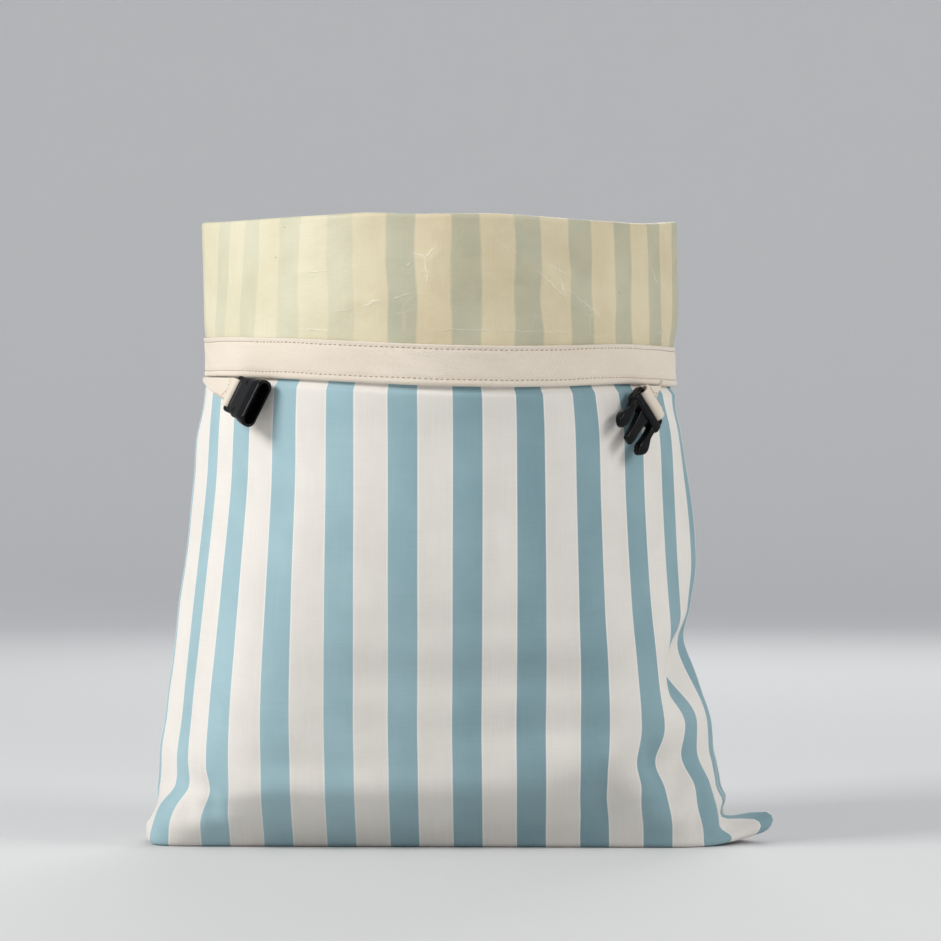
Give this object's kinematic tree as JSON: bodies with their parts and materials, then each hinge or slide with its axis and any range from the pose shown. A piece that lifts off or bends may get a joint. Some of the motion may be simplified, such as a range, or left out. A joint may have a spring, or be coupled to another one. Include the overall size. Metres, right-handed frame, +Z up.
{
  "type": "linen bread bag",
  "caption": "Soft striped linen bag standing open, with a waxed lining turned down as a cuff, a tape band, and the halves of a side-release buckle on tape tabs.",
  "frame": {"origin": "middle of the flat base on which the bag stands", "axes": "+Z up through the mouth, the front of the bag faces -Y, +X to the right seen from the front"},
  "size_m": [0.3614, 0.2366, 0.3466],
  "materials": {
    "linen": "off-white linen with light blue stripes, matt",
    "lining": "waxed cloth, pale yellow, slight sheen",
    "tape": "cream cotton tape, matt",
    "plastic": "black, glossy"
  },
  "bodies": {
    "root": {"outer_cloth": "linen", "lining": "lining", "mouth_band": "tape", "left_tab": "tape", "buckle_socket": "plastic", "right_tab": "tape", "buckle_plug": "plastic"}
  },
  "joints": []
}
